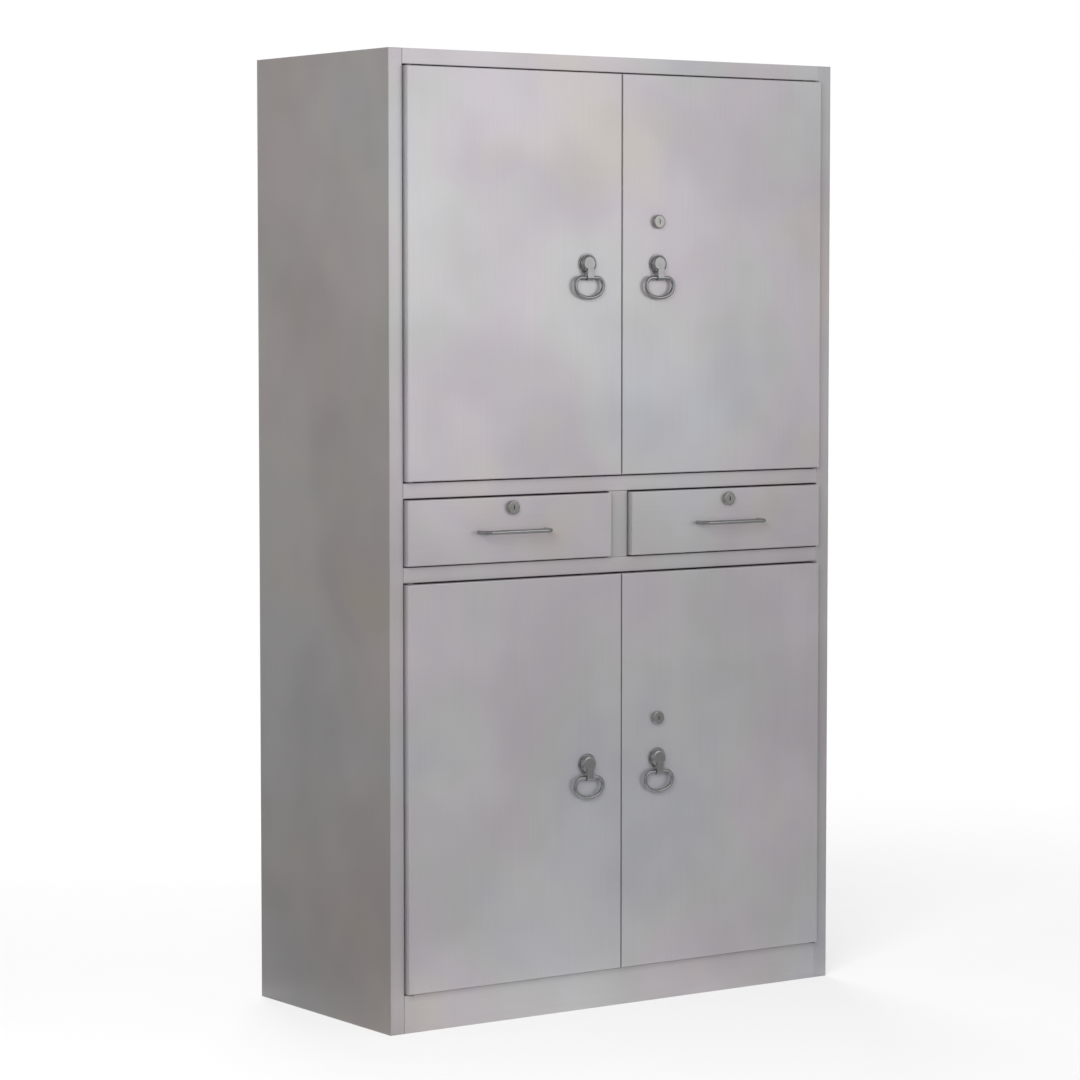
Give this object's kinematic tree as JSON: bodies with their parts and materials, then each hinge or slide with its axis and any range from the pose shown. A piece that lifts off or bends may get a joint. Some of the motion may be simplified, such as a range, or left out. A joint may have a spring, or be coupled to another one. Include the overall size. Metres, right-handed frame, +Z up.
{
  "type": "medical cabinet",
  "caption": "Tall free-standing stainless steel cabinet with hinged doors above and below a row of lockable drawers, ring pulls, adjustable shelves inside.",
  "frame": {"origin": "floor level, middle of the overall width and depth (drawer pulls included)", "axes": "+Z up, +X to the right seen from the front, the doors face -Y"},
  "size_m": [1, 0.4945, 1.75],
  "materials": {
    "cabinet_steel": "fine brushed stainless sheet, welded and ground",
    "door_steel": "fine brushed stainless sheet, clear of joints",
    "pull_chrome": "polished, slightly handled",
    "lock_chrome": "polished nickel",
    "bolt_chrome": "bright plated rod",
    "hinge_steel": "satin stainless",
    "slide_zinc": "bright zinc plate",
    "catch_plastic": "moulded, satin"
  },
  "bodies": {
    "carcass": {"left_side_panel": "cabinet_steel", "right_side_panel": "cabinet_steel", "front_posts": "cabinet_steel", "back_panel": "cabinet_steel", "top_panel": "cabinet_steel", "plinth_panel": "cabinet_steel", "floor_panel": "cabinet_steel", "upper_deck": "cabinet_steel", "lower_deck": "cabinet_steel", "drawer_partition": "cabinet_steel", "slide_brackets": "cabinet_steel", "slide_outer_members": "slide_zinc", "upper_shelf": "cabinet_steel", "lower_shelf": "cabinet_steel", "shelf_uprights": "cabinet_steel", "shelf_clips": "slide_zinc", "hinge_plates": "hinge_steel", "magnetic_catches": "catch_plastic"},
    "upper_left_door_ring": {"upper_left_door_pull_ring": "pull_chrome"},
    "upper_left_door_top_bolt": {"upper_left_door_top_bolt": "bolt_chrome"},
    "upper_left_door_bottom_bolt": {"upper_left_door_bottom_bolt": "bolt_chrome"},
    "upper_left_door": {"upper_left_door_pan": "door_steel", "upper_left_door_stiffener": "cabinet_steel", "upper_left_door_pull_rose": "pull_chrome", "upper_left_door_bolt_cases": "hinge_steel"},
    "upper_right_door_ring": {"upper_right_door_pull_ring": "pull_chrome"},
    "upper_right_door_lock_core": {"upper_right_door_lock_core": "lock_chrome"},
    "upper_right_door": {"upper_right_door_pan": "door_steel", "upper_right_door_stiffener": "cabinet_steel", "upper_right_door_pull_rose": "pull_chrome", "upper_right_door_lock_body": "lock_chrome"},
    "lower_left_door_ring": {"lower_left_door_pull_ring": "pull_chrome"},
    "lower_left_door_top_bolt": {"lower_left_door_top_bolt": "bolt_chrome"},
    "lower_left_door_bottom_bolt": {"lower_left_door_bottom_bolt": "bolt_chrome"},
    "lower_left_door": {"lower_left_door_pan": "door_steel", "lower_left_door_stiffener": "cabinet_steel", "lower_left_door_pull_rose": "pull_chrome", "lower_left_door_bolt_cases": "hinge_steel"},
    "lower_right_door_ring": {"lower_right_door_pull_ring": "pull_chrome"},
    "lower_right_door_lock_core": {"lower_right_door_lock_core": "lock_chrome"},
    "lower_right_door": {"lower_right_door_pan": "door_steel", "lower_right_door_stiffener": "cabinet_steel", "lower_right_door_pull_rose": "pull_chrome", "lower_right_door_lock_body": "lock_chrome"},
    "left_drawer": {"left_drawer_front": "door_steel", "left_drawer_tray": "cabinet_steel", "left_drawer_pull": "pull_chrome", "left_drawer_pull_screws": "hinge_steel", "left_drawer_slide_inner": "slide_zinc", "left_drawer_lock_body": "lock_chrome"},
    "left_drawer_slide_middle": {"left_drawer_slide_middle": "slide_zinc"},
    "left_drawer_lock_core": {"left_drawer_lock_core": "lock_chrome"},
    "right_drawer": {"right_drawer_front": "door_steel", "right_drawer_tray": "cabinet_steel", "right_drawer_pull": "pull_chrome", "right_drawer_pull_screws": "hinge_steel", "right_drawer_slide_inner": "slide_zinc", "right_drawer_lock_body": "lock_chrome"},
    "right_drawer_slide_middle": {"right_drawer_slide_middle": "slide_zinc"},
    "right_drawer_lock_core": {"right_drawer_lock_core": "lock_chrome"}
  },
  "joints": [
    {"name": "upper_left_door_hinge", "type": "hinge", "parent": "carcass", "child": "upper_left_door", "pos_m": [-0.4601, -0.20975, 0.985], "axis": [0, 0, -1], "range_deg": [0, 110]},
    {"name": "upper_left_door_ring_swing", "type": "hinge", "parent": "upper_left_door", "child": "upper_left_door_ring", "pos_m": [-0.08, -0.22275, 1.3485], "axis": [-1, 0, 0], "range_deg": [0, 90]},
    {"name": "upper_left_door_top_bolt_slide", "type": "slide", "parent": "upper_left_door", "child": "upper_left_door_top_bolt", "axis": [0, 0, 1], "range_m": [0, 0.014]},
    {"name": "upper_left_door_bottom_bolt_slide", "type": "slide", "parent": "upper_left_door", "child": "upper_left_door_bottom_bolt", "axis": [0, 0, -1], "range_m": [0, 0.014]},
    {"name": "upper_right_door_hinge", "type": "hinge", "parent": "carcass", "child": "upper_right_door", "pos_m": [0.4601, -0.20975, 0.985], "axis": [0, 0, 1], "range_deg": [0, 110]},
    {"name": "upper_right_door_ring_swing", "type": "hinge", "parent": "upper_right_door", "child": "upper_right_door_ring", "pos_m": [0.08, -0.22275, 1.3485], "axis": [-1, 0, 0], "range_deg": [0, 90]},
    {"name": "upper_right_door_lock_turn", "type": "hinge", "parent": "upper_right_door", "child": "upper_right_door_lock_core", "pos_m": [0.08, -0.21525, 1.4515], "axis": [0, 1, 0], "range_deg": [0, 90]},
    {"name": "lower_left_door_hinge", "type": "hinge", "parent": "carcass", "child": "lower_left_door", "pos_m": [-0.4601, -0.20975, 0.069], "axis": [0, 0, -1], "range_deg": [0, 110]},
    {"name": "lower_left_door_ring_swing", "type": "hinge", "parent": "lower_left_door", "child": "lower_left_door_ring", "pos_m": [-0.08, -0.22275, 0.433], "axis": [-1, 0, 0], "range_deg": [0, 90]},
    {"name": "lower_left_door_top_bolt_slide", "type": "slide", "parent": "lower_left_door", "child": "lower_left_door_top_bolt", "axis": [0, 0, 1], "range_m": [0, 0.014]},
    {"name": "lower_left_door_bottom_bolt_slide", "type": "slide", "parent": "lower_left_door", "child": "lower_left_door_bottom_bolt", "axis": [0, 0, -1], "range_m": [0, 0.014]},
    {"name": "lower_right_door_hinge", "type": "hinge", "parent": "carcass", "child": "lower_right_door", "pos_m": [0.4601, -0.20975, 0.069], "axis": [0, 0, 1], "range_deg": [0, 110]},
    {"name": "lower_right_door_ring_swing", "type": "hinge", "parent": "lower_right_door", "child": "lower_right_door_ring", "pos_m": [0.08, -0.22275, 0.433], "axis": [-1, 0, 0], "range_deg": [0, 90]},
    {"name": "lower_right_door_lock_turn", "type": "hinge", "parent": "lower_right_door", "child": "lower_right_door_lock_core", "pos_m": [0.08, -0.21525, 0.533], "axis": [0, 1, 0], "range_deg": [0, 90]},
    {"name": "left_drawer_slide", "type": "slide", "parent": "carcass", "child": "left_drawer", "axis": [0, -1, 0], "range_m": [0, 0.3]},
    {"name": "left_drawer_slide_middle_travel", "type": "slide", "parent": "carcass", "child": "left_drawer_slide_middle", "axis": [0, -1, 0], "range_m": [0, 0.15]},
    {"name": "left_drawer_lock_turn", "type": "hinge", "parent": "left_drawer", "child": "left_drawer_lock_core", "pos_m": [-0.24575, -0.21525, 0.9356], "axis": [0, -1, 0], "range_deg": [0, 90]},
    {"name": "right_drawer_slide", "type": "slide", "parent": "carcass", "child": "right_drawer", "axis": [0, -1, 0], "range_m": [0, 0.3]},
    {"name": "right_drawer_slide_middle_travel", "type": "slide", "parent": "carcass", "child": "right_drawer_slide_middle", "axis": [0, -1, 0], "range_m": [0, 0.15]},
    {"name": "right_drawer_lock_turn", "type": "hinge", "parent": "right_drawer", "child": "right_drawer_lock_core", "pos_m": [0.24575, -0.21525, 0.9356], "axis": [0, -1, 0], "range_deg": [0, 90]}
  ],
  "couplings": [
    {"joint": "left_drawer_slide_middle_travel", "follows": "left_drawer_slide", "ratio": 0.5},
    {"joint": "right_drawer_slide_middle_travel", "follows": "right_drawer_slide", "ratio": 0.5}
  ]
}
